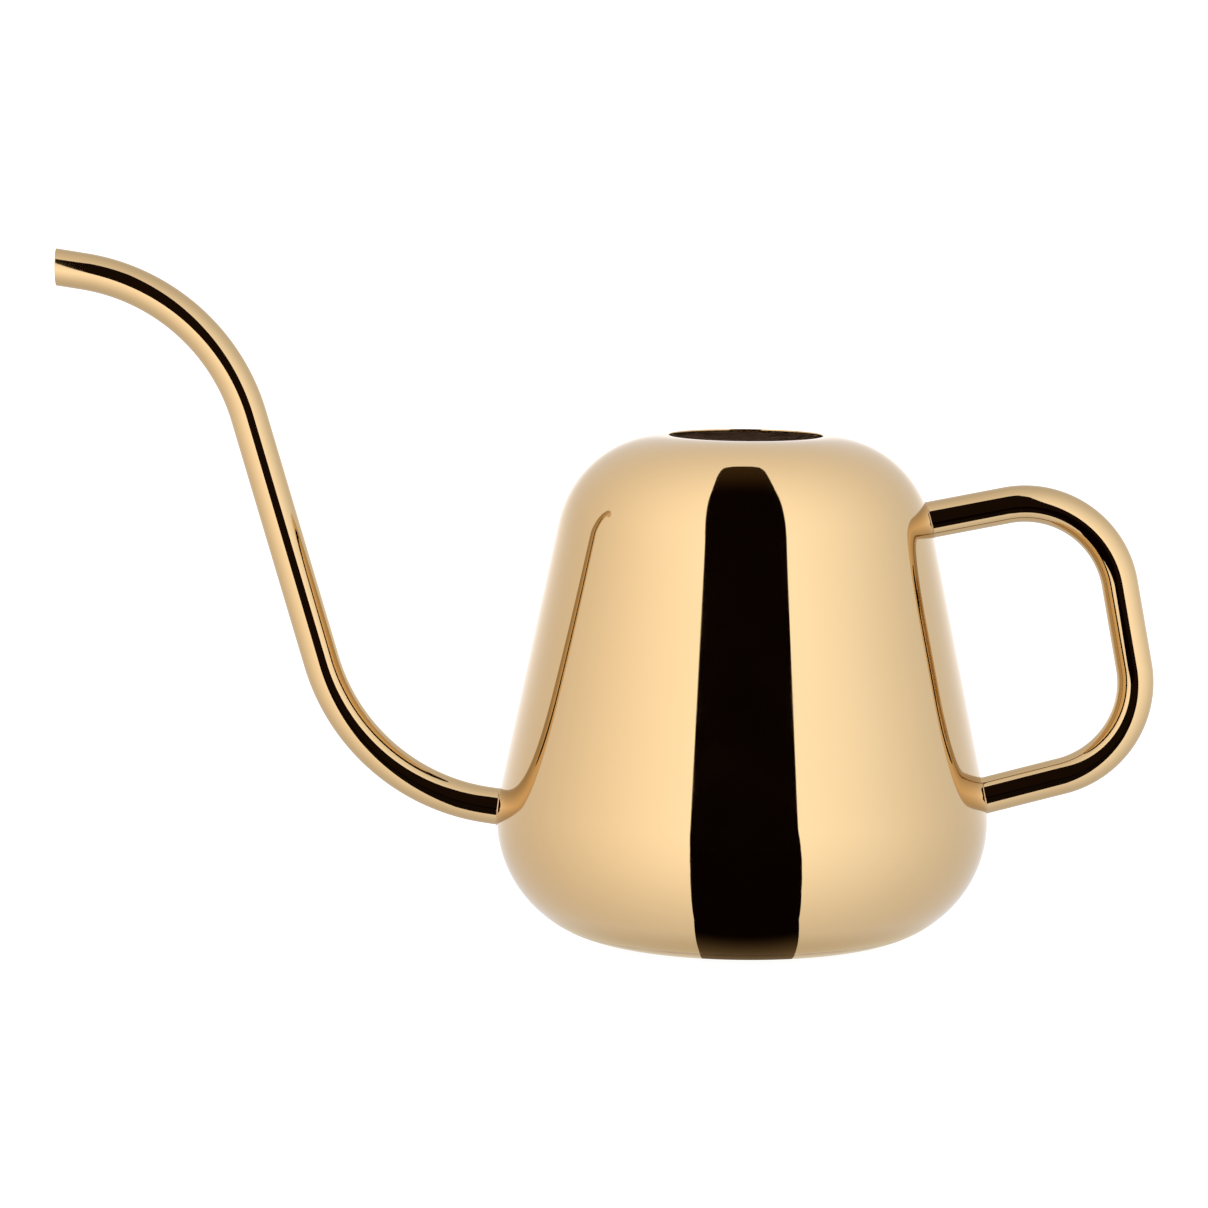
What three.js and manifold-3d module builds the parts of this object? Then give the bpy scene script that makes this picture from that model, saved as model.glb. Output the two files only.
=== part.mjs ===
// Long-spout watering can in polished gold-coloured stainless sheet and tube.
// Millimetres, +Z up. The foot stands on z = 0 and the middle of the can's footprint is the origin.
// The spout points to -X and the handle to +X; both lie in the plane y = 0.
import * as THREE from 'three';
import { mergeVertices } from 'three/addons/utils/BufferGeometryUtils.js';
import Module from 'manifold-3d';

// Body: a cone of sheet with a rounded shoulder and a rounded lower edge.
const bodyRadius = 80;
const bodyHeight = 164.5;
const wallLean = 11.75;
const lowerEdgeRadius = 39;
const shoulderRadius = 36;
const mouthRadius = 25;
const sheet = 0.8;

// Base pan: welded to the shell on the underside of the rounded edge.
const baseSeamAngle = 26;
const footWidth = 8;
const footStepWidth = 4;
const panelRise = 2.5;

// Tubes of the spout and the handle.
const tubeRadius = 6;
const tubeWall = 0.8;

// Length of each tube drawn inside the wall before its end is cut to the wall's shape.
const tubeLead = 6;

// Spout: leaves the wall level, sweeps up, runs straight and bends over to a nearly level tip.
const spoutRootHeight = 42.2;
const spoutBendStart = 73.9;
const spoutBendRadius = 66;
const spoutRiseAngle = 73.4;
const spoutStraight = 83.5;
const spoutOverAngle = 64.8;
const spoutTipStraight = 12;
const spoutReach = 223.3;

// Handle: two legs square to the wall and a grip along it.
const handleLegX = 60.3;
const handleLegHeight = 137.45;
const handleLegAngle = 11.3;
const handleUpperLeg = 25;
const handleBendRadius = 31.5;
const handleUpperBend = 90.6;
const gripStraight = 27.6;
const handleLowerBend = 85.9;
const handleLowerLeg = 28;

// Weld beads and the clearance kept between neighbouring pieces.
const weldLeg = 0.8;
const weldThroat = 0.28;
const gap = 0.3;

// Fineness of the faceting.
const bodySides = 64;
const tubeSides = 20;
const beadSides = 28;
const arcStep = 8;

// Reach and closeness of the search for a point on the wall; size of the block that cuts the tip.
const wallSearch = 24;
const wallCloseness = 1e-6;
const tipBlock = 36;

const wasm = await Module();
wasm.setup();
const toRadians = THREE.MathUtils.degToRad;

// Centres of the two arcs of the body's outline; the wall is tangent to both.
const lean = toRadians(wallLean);
const lowerCentre = new THREE.Vector2(bodyRadius - lowerEdgeRadius, lowerEdgeRadius);
const shoulderCentre = new THREE.Vector2(0, bodyHeight - shoulderRadius);
const wallOffset = lowerCentre.x * Math.cos(lean) + lowerCentre.y * Math.sin(lean) + lowerEdgeRadius;
shoulderCentre.x = (wallOffset - shoulderRadius - shoulderCentre.y * Math.sin(lean)) / Math.cos(lean);

// Points on an arc of the body's outline; angles in degrees above the horizontal.
function outlineArc(centre, radius, fromAngle, toAngle) {
  const count = Math.max(1, Math.ceil(Math.abs(toAngle - fromAngle) / arcStep));
  const points = [];
  for (let i = 0; i <= count; i += 1) {
    const angle = toRadians(fromAngle + ((toAngle - fromAngle) * i) / count);
    points.push(new THREE.Vector2(centre.x + radius * Math.cos(angle), centre.y + radius * Math.sin(angle)));
  }
  return points;
}

// Outline of the shell from its lower edge to the mouth, moved inwards by inset.
function shellOutline(inset, fromAngle) {
  return [
    ...outlineArc(lowerCentre, lowerEdgeRadius - inset, fromAngle, wallLean),
    ...outlineArc(shoulderCentre, shoulderRadius - inset, wallLean, 90),
  ];
}

// Distance from the body's outer surface, positive outside; valid beside the wall and both arcs.
function distanceFromBody(point) {
  const radial = Math.hypot(point.x, point.y);
  const upLower = Math.atan2(point.z - lowerCentre.y, radial - lowerCentre.x);
  const upShoulder = Math.atan2(point.z - shoulderCentre.y, radial - shoulderCentre.x);
  if (upLower < lean) {
    return Math.hypot(radial - lowerCentre.x, point.z - lowerCentre.y) - lowerEdgeRadius;
  }
  if (upShoulder > lean) {
    return Math.hypot(radial - shoulderCentre.x, point.z - shoulderCentre.y) - shoulderRadius;
  }
  return radial * Math.cos(lean) + point.z * Math.sin(lean) - wallOffset;
}

// Closed skin over rings of equal size. A closed round joins the last ring to the first;
// otherwise the first and the last ring are closed with flat caps.
function skinRings(rings, closedRound) {
  const sides = rings[0].length;
  const positions = rings.flat().flatMap((point) => [point.x, point.y, point.z]);
  const index = [];
  const bands = closedRound ? rings.length : rings.length - 1;
  for (let i = 0; i < bands; i += 1) {
    const near = i * sides;
    const far = ((i + 1) % rings.length) * sides;
    for (let j = 0; j < sides; j += 1) {
      const next = (j + 1) % sides;
      index.push(near + j, near + next, far + next, near + j, far + next, far + j);
    }
  }
  if (!closedRound) {
    [rings[0], rings[rings.length - 1]].forEach((ring, end) => {
      const first = end * (rings.length - 1) * sides;
      const middle = positions.length / 3;
      const centre = ring.reduce((sum, point) => sum.add(point), new THREE.Vector3()).divideScalar(sides);
      positions.push(centre.x, centre.y, centre.z);
      for (let j = 0; j < sides; j += 1) {
        const edge = [first + j, first + ((j + 1) % sides)];
        index.push(middle, edge[1 - end], edge[end]);
      }
    });
  }
  return facingOut(positions, index);
}

// Geometry with its triangles turned so that the enclosed volume is positive.
function facingOut(positions, index) {
  const corner = (k) => new THREE.Vector3().fromArray(positions, index[k] * 3);
  let volume = 0;
  for (let k = 0; k < index.length; k += 3) {
    volume += corner(k).dot(corner(k + 1).cross(corner(k + 2)));
  }
  if (volume < 0) {
    index.reverse();
  }
  const geometry = new THREE.BufferGeometry();
  geometry.setAttribute('position', new THREE.Float32BufferAttribute(positions, 3));
  geometry.setIndex(index);
  return geometry;
}

// Ring of points around the Z axis.
function ringAround(radius, height, sides) {
  const points = [];
  for (let j = 0; j < sides; j += 1) {
    const angle = (2 * Math.PI * j) / sides;
    points.push(new THREE.Vector3(radius * Math.cos(angle), radius * Math.sin(angle), height));
  }
  return points;
}

function revolve(outline, closedRound) {
  return skinRings(outline.map((point) => ringAround(point.x, point.y, bodySides)), closedRound);
}

// Centreline in the plane y = 0, kept as stations with a position and a direction of travel.
function startLine(x, z, headingDegrees) {
  return [{ x, z, heading: toRadians(headingDegrees) }];
}

function goStraight(line, length) {
  const last = line[line.length - 1];
  const x = last.x + length * Math.cos(last.heading);
  const z = last.z + length * Math.sin(last.heading);
  line.push({ x, z, heading: last.heading });
}

// A positive turn goes from +X towards +Z.
function goRound(line, radius, turnDegrees) {
  const start = line[line.length - 1];
  const side = Math.sign(turnDegrees);
  const centreX = start.x - side * radius * Math.sin(start.heading);
  const centreZ = start.z + side * radius * Math.cos(start.heading);
  const count = Math.ceil(Math.abs(turnDegrees) / arcStep);
  for (let i = 1; i <= count; i += 1) {
    const heading = start.heading + (toRadians(turnDegrees) * i) / count;
    const x = centreX + side * radius * Math.sin(heading);
    const z = centreZ - side * radius * Math.cos(heading);
    line.push({ x, z, heading });
  }
}

// Ring square to a station of a centreline.
function ringAlong(station, radius) {
  const points = [];
  for (let j = 0; j < tubeSides; j += 1) {
    const angle = (2 * Math.PI * j) / tubeSides;
    const across = radius * Math.cos(angle);
    const x = station.x - across * Math.sin(station.heading);
    const z = station.z + across * Math.cos(station.heading);
    points.push(new THREE.Vector3(x, radius * Math.sin(angle), z));
  }
  return points;
}

function hollowTube(line) {
  const outer = line.map((station) => ringAlong(station, tubeRadius));
  const inner = line.map((station) => ringAlong(station, tubeRadius - tubeWall));
  return skinRings([...outer, ...inner.reverse()], true);
}

// Solid to cut with, from a geometry and back.
function toManifold(geometry) {
  const bare = geometry.clone();
  bare.deleteAttribute('normal');
  bare.deleteAttribute('uv');
  const merged = mergeVertices(bare);
  const vertProperties = Float32Array.from(merged.attributes.position.array);
  const triVerts = Uint32Array.from(merged.index.array);
  return new wasm.Manifold(new wasm.Mesh({ numProp: 3, vertProperties, triVerts }));
}

function toGeometry(solid) {
  const mesh = solid.getMesh();
  const geometry = new THREE.BufferGeometry();
  geometry.setAttribute('position', new THREE.Float32BufferAttribute(mesh.vertProperties, 3));
  geometry.setIndex(new THREE.Uint32BufferAttribute(mesh.triVerts, 1));
  return geometry;
}

// Filled body grown by the clearance: cuts the ends of the tubes to the shape of the wall.
const grownOutline = [
  ...outlineArc(lowerCentre, lowerEdgeRadius + gap, -90, wallLean),
  ...outlineArc(shoulderCentre, shoulderRadius + gap, wallLean, 90),
];
const grownBody = toManifold(revolve(grownOutline, false));

// Fillet of filler metal around a tube where it meets the wall.
// Each section point is given by its distance from the tube's axis and from the wall.
function weldAround(root, direction) {
  const sideways = new THREE.Vector3(0, 1, 0);
  const across = new THREE.Vector3().crossVectors(direction, sideways);
  const toe = weldLeg + gap;
  const throat = weldThroat + gap;
  const section = [[gap, gap], [toe, gap], [throat, throat], [gap, toe]];
  const rings = section.map(([fromTube, fromWall]) => {
    const ring = [];
    for (let j = 0; j < beadSides; j += 1) {
      const angle = (2 * Math.PI * j) / beadSides;
      const start = root.clone();
      start.addScaledVector(across, (tubeRadius + fromTube) * Math.cos(angle));
      start.addScaledVector(sideways, (tubeRadius + fromTube) * Math.sin(angle));
      ring.push(slideToWall(start, direction, fromWall));
    }
    return ring;
  });
  return skinRings(rings, true);
}

// Point on a line along direction that lies at the given distance from the wall.
function slideToWall(start, direction, distance) {
  let low = -wallSearch;
  let high = wallSearch;
  while (high - low > wallCloseness) {
    const middle = (low + high) / 2;
    const point = start.clone().addScaledVector(direction, middle);
    if (distanceFromBody(point) < distance) {
      low = middle;
    } else {
      high = middle;
    }
  }
  return start.clone().addScaledVector(direction, (low + high) / 2);
}

// Station where a centreline crosses the wall, as a point and the direction away from the body.
function wallCrossing(line) {
  const points = line.map((station) => new THREE.Vector3(station.x, 0, station.z));
  const outside = points.map((point) => distanceFromBody(point) > 0);
  const i = outside.findIndex((isOut, k) => k > 0 && isOut !== outside[k - 1]);
  const direction = points[i].clone().sub(points[i - 1]).normalize();
  if (!outside[i]) {
    direction.negate();
  }
  const inner = outside[i] ? points[i - 1] : points[i];
  return { root: slideToWall(inner, direction, 0), direction };
}

// Centrelines of the spout and the handle.
const spoutLine = startLine(tubeLead - spoutBendStart, spoutRootHeight, 180);
goStraight(spoutLine, tubeLead);
goRound(spoutLine, spoutBendRadius, -spoutRiseAngle);
goStraight(spoutLine, spoutStraight);
goRound(spoutLine, spoutBendRadius, spoutOverAngle);
goStraight(spoutLine, spoutTipStraight);

const legStartX = handleLegX - tubeLead * Math.cos(toRadians(handleLegAngle));
const legStartZ = handleLegHeight - tubeLead * Math.sin(toRadians(handleLegAngle));
const handleLine = startLine(legStartX, legStartZ, handleLegAngle);
goStraight(handleLine, handleUpperLeg + tubeLead);
goRound(handleLine, handleBendRadius, -handleUpperBend);
goStraight(handleLine, gripStraight);
goRound(handleLine, handleBendRadius, -handleLowerBend);
goStraight(handleLine, handleLowerLeg + tubeLead);
const handleReach = Math.max(...handleLine.map((station) => station.x)) + tubeRadius;

// Shell: one drawn sheet, open at the mouth and at the bottom, pierced for the spout.
const seamAngle = baseSeamAngle - 90;
const shellOuter = shellOutline(0, seamAngle);
const shellInner = shellOutline(sheet, seamAngle);
const mouthEdge = new THREE.Vector2(mouthRadius, bodyHeight - sheet / 2);
const shellSolid = toManifold(revolve([...shellOuter, mouthEdge, ...shellInner.reverse()], true));
const holeLine = startLine(-bodyRadius - tubeLead, spoutRootHeight, 0);
goStraight(holeLine, 3 * tubeLead);
const holeCutter = skinRings(holeLine.map((station) => ringAlong(station, tubeRadius - tubeWall)), false);
const shellGeometry = toGeometry(shellSolid.subtract(toManifold(holeCutter)));

// Base pan: continues the rounded edge, stands on a flat foot and has a raised middle panel.
const degreesPerMm = 180 / (Math.PI * lowerEdgeRadius);
const weldAngle = seamAngle - gap * degreesPerMm;
const panAngle = weldAngle - (weldLeg + gap) * degreesPerMm;
const footInner = lowerCentre.x - footWidth;
const panelRadius = footInner - footStepWidth;
const panOver = [
  new THREE.Vector2(panelRadius + sheet / 2, panelRise + sheet),
  new THREE.Vector2(footInner + sheet / 2, sheet),
  ...outlineArc(lowerCentre, lowerEdgeRadius - sheet, -90, panAngle),
];
const panUnder = [
  ...outlineArc(lowerCentre, lowerEdgeRadius, panAngle, -90),
  new THREE.Vector2(footInner, 0),
  new THREE.Vector2(panelRadius, panelRise),
];
const panGeometry = revolve([...panOver, ...panUnder], false);

// Bead between the shell's lower edge and the pan.
const baseWeldGeometry = revolve([
  ...outlineArc(lowerCentre, lowerEdgeRadius, weldAngle - weldLeg * degreesPerMm, weldAngle),
  ...outlineArc(lowerCentre, lowerEdgeRadius - sheet, weldAngle, weldAngle - weldLeg * degreesPerMm),
], true);

// Spout: coped to the wall and cut upright at the tip.
const tipCut = new THREE.BoxGeometry(tipBlock, tipBlock, tipBlock);
const tipHeight = spoutLine[spoutLine.length - 1].z;
tipCut.translate(-spoutReach - tipBlock / 2, 0, tipHeight);
const spoutRough = toManifold(hollowTube(spoutLine)).subtract(grownBody);
const spoutGeometry = toGeometry(spoutRough.subtract(toManifold(tipCut)));
const handleGeometry = toGeometry(toManifold(hollowTube(handleLine)).subtract(grownBody));

const spoutRoot = wallCrossing(spoutLine);
const handleTopRoot = wallCrossing(handleLine);
const handleBottomRoot = wallCrossing([...handleLine].reverse());

// The polished gold-coloured steel; the beads are a little less bright.
function goldSteel(colour, roughness) {
  return new THREE.MeshStandardMaterial({ color: colour, roughness, metalness: 1 });
}

const gold = 0xe2bd84;
const weldGold = 0xcaa670;
const pieces = [
  ['body_shell', shellGeometry, gold, 0.12],
  ['base_pan', panGeometry, gold, 0.18],
  ['base_weld', baseWeldGeometry, weldGold, 0.3],
  ['spout_tube', spoutGeometry, gold, 0.12],
  ['spout_weld', weldAround(spoutRoot.root, spoutRoot.direction), weldGold, 0.3],
  ['handle_tube', handleGeometry, gold, 0.12],
  ['handle_top_weld', weldAround(handleTopRoot.root, handleTopRoot.direction), weldGold, 0.3],
  ['handle_bottom_weld', weldAround(handleBottomRoot.root, handleBottomRoot.direction), weldGold, 0.3],
];

const wateringCan = new THREE.Group();
wateringCan.name = 'watering_can';
const onBodyAxis = new THREE.Group();
onBodyAxis.name = 'on_body_axis';
onBodyAxis.position.x = (spoutReach - handleReach) / 2;
wateringCan.add(onBodyAxis);
for (const [name, geometry, colour, roughness] of pieces) {
  geometry.computeVertexNormals();
  const mesh = new THREE.Mesh(geometry, goldSteel(colour, roughness));
  mesh.name = name;
  onBodyAxis.add(mesh);
}

export default wateringCan;
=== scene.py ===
import math

import bmesh
import bpy
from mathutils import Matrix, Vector


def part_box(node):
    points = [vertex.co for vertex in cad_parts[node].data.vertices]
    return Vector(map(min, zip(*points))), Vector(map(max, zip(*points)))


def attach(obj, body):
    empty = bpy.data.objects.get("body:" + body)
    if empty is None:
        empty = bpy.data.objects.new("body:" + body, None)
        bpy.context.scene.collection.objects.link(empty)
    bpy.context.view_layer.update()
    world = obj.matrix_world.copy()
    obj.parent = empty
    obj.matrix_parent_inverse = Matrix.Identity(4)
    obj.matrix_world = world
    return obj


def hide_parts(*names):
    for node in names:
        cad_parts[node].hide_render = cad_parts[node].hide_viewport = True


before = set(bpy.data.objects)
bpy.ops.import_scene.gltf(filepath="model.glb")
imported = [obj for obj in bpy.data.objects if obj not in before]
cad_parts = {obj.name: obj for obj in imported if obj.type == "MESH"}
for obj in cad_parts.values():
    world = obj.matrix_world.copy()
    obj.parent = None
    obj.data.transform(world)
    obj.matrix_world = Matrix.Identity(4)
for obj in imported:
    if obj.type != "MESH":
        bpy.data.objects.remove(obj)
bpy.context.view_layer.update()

mm = 0.001

canBody = {  # the pressed sheet: sizes in metres, angles in degrees
    "radius": 80 * mm,
    "height": 164.5 * mm,
    "wallLean": 11.75,
    "lowerEdgeRadius": 39 * mm,
    "shoulderRadius": 36 * mm,
    "mouthRadius": 25 * mm,
    "sheet": 0.8 * mm,
    "seamAngle": 26,  # where the pan is welded on, round the lower edge from straight down
    "arcStep": 2.0,  # degrees between rings on the arcs
    "wallRings": 16,
    "sides": 320,
    "rimSoftness": 0.18 * mm,
    "rimSteps": 3,
    "rimAngle": 50,  # an edge sharper than this is a rim
}
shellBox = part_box("body_shell")
axisX = (shellBox[0][0] + shellBox[1][0]) / 2  # the body is round about this upright line

# The outline of the body, shared by every piece that meets it.
lean = math.radians(canBody["wallLean"])
lowerCentre = Vector((canBody["radius"] - canBody["lowerEdgeRadius"], canBody["lowerEdgeRadius"]))
shoulderHeight = canBody["height"] - canBody["shoulderRadius"]
wallOffset = lowerCentre.x * math.cos(lean) + lowerCentre.y * math.sin(lean) + canBody["lowerEdgeRadius"]
shoulderX = (wallOffset - canBody["shoulderRadius"] - shoulderHeight * math.sin(lean)) / math.cos(lean)
shoulderCentre = Vector((shoulderX, shoulderHeight))


def arcPoints(centre, radius, fromAngle, toAngle):
    count = max(1, math.ceil(abs(toAngle - fromAngle) / canBody["arcStep"]))
    angles = [math.radians(fromAngle + (toAngle - fromAngle) * i / count) for i in range(count + 1)]
    return [(centre.x + radius * math.cos(a), centre.y + radius * math.sin(a)) for a in angles]


def pointsBetween(start, end, count):  # both ends are left out
    steps = [i / count for i in range(1, count)]
    return [(start[0] + (end[0] - start[0]) * s, start[1] + (end[1] - start[1]) * s) for s in steps]


def wallDistance(point):  # from the body's outer surface, positive outside
    radial = math.hypot(point[0] - axisX, point[1])
    height = point[2]
    if math.atan2(height - lowerCentre.y, radial - lowerCentre.x) < lean:
        return math.hypot(radial - lowerCentre.x, height - lowerCentre.y) - canBody["lowerEdgeRadius"]
    if math.atan2(height - shoulderCentre.y, radial - shoulderCentre.x) > lean:
        return math.hypot(radial - shoulderCentre.x, height - shoulderCentre.y) - canBody["shoulderRadius"]
    return radial * math.cos(lean) + height * math.sin(lean) - wallOffset


search = {"reach": 30 * mm, "halvings": 40}


def slideUntil(point, direction, distanceAt, wanted):  # along a line, to where the distance is as wanted
    low, high = -search["reach"], search["reach"]
    for _ in range(search["halvings"]):
        middle = (low + high) / 2
        if distanceAt(point + direction * middle) < wanted:
            low = middle
        else:
            high = middle
    return point + direction * (low + high) / 2


# Small helpers for trees of nodes.

def addNode(tree, kind, x, y, values=None, **settings):
    node = tree.nodes.new(kind)
    node.location = (x, y)
    for key, value in settings.items():
        setattr(node, key, value)
    for key, value in (values or {}).items():
        node.inputs[key].default_value = value
    return node


def shapeTree(name, sizes):  # geometry in and out, with one named input for each size
    tree = bpy.data.node_groups.new(name, "GeometryNodeTree")
    tree.interface.new_socket("Geometry", in_out="INPUT", socket_type="NodeSocketGeometry")
    tree.interface.new_socket("Geometry", in_out="OUTPUT", socket_type="NodeSocketGeometry")
    for label, kind in sizes.items():
        tree.interface.new_socket(label, in_out="INPUT", socket_type="NodeSocket" + kind)
    start = addNode(tree, "NodeGroupInput", -800, 0)
    end = addNode(tree, "NodeGroupOutput", 1000, 0)
    return tree, start, end


def finishShape(tree, start, end, mesh):  # real faces, shaded smooth, in the chosen material
    smooth = addNode(tree, "GeometryNodeSetShadeSmooth", 400, 0)
    real = addNode(tree, "GeometryNodeRealizeInstances", 600, 0)
    coat = addNode(tree, "GeometryNodeSetMaterial", 800, 0)
    tree.links.new(mesh, smooth.inputs["Geometry"])
    tree.links.new(smooth.outputs["Geometry"], real.inputs["Geometry"])
    tree.links.new(real.outputs["Geometry"], coat.inputs["Geometry"])
    tree.links.new(start.outputs["Material"], coat.inputs["Material"])
    tree.links.new(coat.outputs["Geometry"], end.inputs["Geometry"])
    return tree


def spunSheetTree():  # spins an outline, drawn as edges, about the upright axis
    tree, start, end = shapeTree("spunSheet", {"Sides": "Int", "Hub": "Float", "Material": "Material"})
    outline = addNode(tree, "GeometryNodeMeshToCurve", -500, -150)
    circle = addNode(tree, "GeometryNodeCurvePrimitiveCircle", -500, 100)
    upright = addNode(tree, "GeometryNodeSetCurveNormal", -300, 100, mode="Z_UP")
    sweep = addNode(tree, "GeometryNodeCurveToMesh", -100, 0)
    tree.links.new(start.outputs["Geometry"], outline.inputs["Mesh"])
    tree.links.new(start.outputs["Sides"], circle.inputs["Resolution"])
    tree.links.new(start.outputs["Hub"], circle.inputs["Radius"])
    tree.links.new(circle.outputs["Curve"], upright.inputs["Curve"])
    tree.links.new(upright.outputs["Curve"], sweep.inputs["Curve"])
    tree.links.new(outline.outputs["Curve"], sweep.inputs["Profile Curve"])
    return finishShape(tree, start, end, sweep.outputs["Mesh"])


def bentTubeTree():  # draws a round skin along a centreline
    tree, start, end = shapeTree("bentTube", {"Sides": "Int", "Radius": "Float", "Material": "Material"})
    centreline = addNode(tree, "GeometryNodeMeshToCurve", -500, 100)
    circle = addNode(tree, "GeometryNodeCurvePrimitiveCircle", -500, -100)
    sweep = addNode(tree, "GeometryNodeCurveToMesh", -100, 0)
    tree.links.new(start.outputs["Geometry"], centreline.inputs["Mesh"])
    tree.links.new(start.outputs["Sides"], circle.inputs["Resolution"])
    tree.links.new(start.outputs["Radius"], circle.inputs["Radius"])
    tree.links.new(centreline.outputs["Curve"], sweep.inputs["Curve"])
    tree.links.new(circle.outputs["Curve"], sweep.inputs["Profile Curve"])
    return finishShape(tree, start, end, sweep.outputs["Mesh"])


def weldBeadTree():  # a fine bead along a seam, uneven as it was laid
    sizes = {
        "Sides": "Int", "Radius": "Float", "Ripple": "Float", "Ripples Per Metre": "Float",
        "Seed": "Float", "Material": "Material",
    }
    tree, start, end = shapeTree("weldBead", sizes)
    seam = addNode(tree, "GeometryNodeMeshToCurve", -500, 150)
    circle = addNode(tree, "GeometryNodeCurvePrimitiveCircle", -500, 0)
    noise = addNode(tree, "ShaderNodeTexNoise", -500, -200, {"Detail": 1.0}, noise_dimensions="4D")
    spread = {"From Min": 0.3, "From Max": 0.7, "To Max": 1.0}
    width = addNode(tree, "ShaderNodeMapRange", -300, -200, spread)
    lowest = addNode(tree, "ShaderNodeMath", -500, -400, {0: 1.0}, operation="SUBTRACT")
    sweep = addNode(tree, "GeometryNodeCurveToMesh", -100, 0)
    tree.links.new(start.outputs["Geometry"], seam.inputs["Mesh"])
    tree.links.new(start.outputs["Sides"], circle.inputs["Resolution"])
    tree.links.new(start.outputs["Radius"], circle.inputs["Radius"])
    tree.links.new(start.outputs["Ripples Per Metre"], noise.inputs["Scale"])
    tree.links.new(start.outputs["Seed"], noise.inputs["W"])
    tree.links.new(start.outputs["Ripple"], lowest.inputs[1])
    tree.links.new(noise.outputs["Fac"], width.inputs["Value"])
    tree.links.new(lowest.outputs[0], width.inputs["To Min"])
    tree.links.new(width.outputs["Result"], sweep.inputs["Scale"])
    tree.links.new(seam.outputs["Curve"], sweep.inputs["Curve"])
    tree.links.new(circle.outputs["Curve"], sweep.inputs["Profile Curve"])
    return finishShape(tree, start, end, sweep.outputs["Mesh"])


def drawEdges(name, points, closed=False):  # an outline or a path as a chain of edges
    mesh = bpy.data.meshes.new(name)
    edges = [(i, i + 1) for i in range(len(points) - 1)]
    if closed:
        edges.append((len(points) - 1, 0))
    mesh.from_pydata([tuple(p) for p in points], edges, [])
    piece = bpy.data.objects.new(name, mesh)
    bpy.context.scene.collection.objects.link(piece)
    return piece


def setShape(piece, tree, values):  # puts the tree on the piece and makes its result a plain mesh
    shape = piece.modifiers.new("shape", "NODES")
    shape.node_group = tree
    sockets = {item.name: item.identifier for item in tree.interface.items_tree if item.in_out == "INPUT"}
    for label, value in values.items():
        shape[sockets[label]] = value
    makePlain(piece)


def makePlain(piece):
    evaluated = piece.evaluated_get(bpy.context.evaluated_depsgraph_get())
    mesh = bpy.data.meshes.new_from_object(evaluated)
    piece.modifiers.clear()
    old = piece.data
    piece.data = mesh
    mesh.name = piece.name
    bpy.data.meshes.remove(old)


seamCloseness = 0.001 * mm  # points nearer than this are one


def tidyMesh(piece, turnOut=True):  # closes the seams and points the faces outwards
    work = bmesh.new()
    work.from_mesh(piece.data)
    bmesh.ops.remove_doubles(work, verts=work.verts, dist=seamCloseness)
    if turnOut:
        bmesh.ops.recalc_face_normals(work, faces=work.faces)
    work.to_mesh(piece.data)
    work.free()


def giveWall(piece, thickness, softness):  # inner side in the second material, rims slightly rounded
    wall = piece.modifiers.new("wall", "SOLIDIFY")
    wall.thickness = thickness
    wall.offset = -1
    wall.use_even_offset = True
    wall.material_offset = 1
    makePlain(piece)
    rims = piece.modifiers.new("rims", "BEVEL")
    rims.width = softness
    rims.segments = canBody["rimSteps"]
    rims.limit_method = "ANGLE"
    rims.angle_limit = math.radians(canBody["rimAngle"])
    makePlain(piece)
    for face in piece.data.polygons:
        face.use_smooth = True


def shiftMesh(piece, offset):
    for vertex in piece.data.vertices:
        vertex.co += offset


# The finishes.

def finishBase(name):
    material = bpy.data.materials.new(name)
    material.use_nodes = True
    tree = material.node_tree
    shader = tree.nodes["Principled BSDF"]
    shader.inputs["Metallic"].default_value = 1.0
    place = addNode(tree, "ShaderNodeTexCoord", -1400, 0)
    centred = addNode(tree, "ShaderNodeMapping", -1200, 0, {"Location": (-axisX, 0, 0)})
    tree.links.new(place.outputs["Object"], centred.inputs["Vector"])
    return material, tree, shader, centred.outputs["Vector"]


def noiseField(tree, vector, scale, detail, x, y, stretch=None):
    if stretch:
        turn = addNode(tree, "ShaderNodeMapping", x - 200, y, {"Scale": stretch})
        tree.links.new(vector, turn.inputs["Vector"])
        vector = turn.outputs["Vector"]
    noise = addNode(tree, "ShaderNodeTexNoise", x, y, {"Scale": scale, "Detail": detail})
    tree.links.new(vector, noise.inputs["Vector"])
    return noise.outputs["Fac"]


def ranged(tree, value, low, high, x, y, fromLow=0.3, fromHigh=0.7):
    spread = {"From Min": fromLow, "From Max": fromHigh, "To Min": low, "To Max": high}
    node = addNode(tree, "ShaderNodeMapRange", x, y, spread)
    tree.links.new(value, node.inputs["Value"])
    return node.outputs["Result"]


def mixedColours(tree, factor, first, second, x, y):
    node = addNode(tree, "ShaderNodeMix", x, y, data_type="RGBA")
    node.inputs["A"].default_value = (*first, 1)
    node.inputs["B"].default_value = (*second, 1)
    tree.links.new(factor, node.inputs["Factor"])
    return node.outputs["Result"]


def relief(tree, height, depth, x, y):
    node = addNode(tree, "ShaderNodeBump", x, y, {"Strength": 1.0, "Distance": depth})
    tree.links.new(height, node.inputs["Height"])
    return node.outputs["Normal"]


mirrorGold = {
    "bright": (0.616, 0.441, 0.236),
    "deep": (0.595, 0.424, 0.223),
    "smoothest": 0.018,
    "hazy": 0.045,
    "tonesPerMetre": 22,
    "hazePerMetre": 55,
    "swell": 0.006 * mm,  # slow waviness left by polishing
    "sheetSwell": 0.003 * mm,
    "swellsPerMetre": 38,
}


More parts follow.
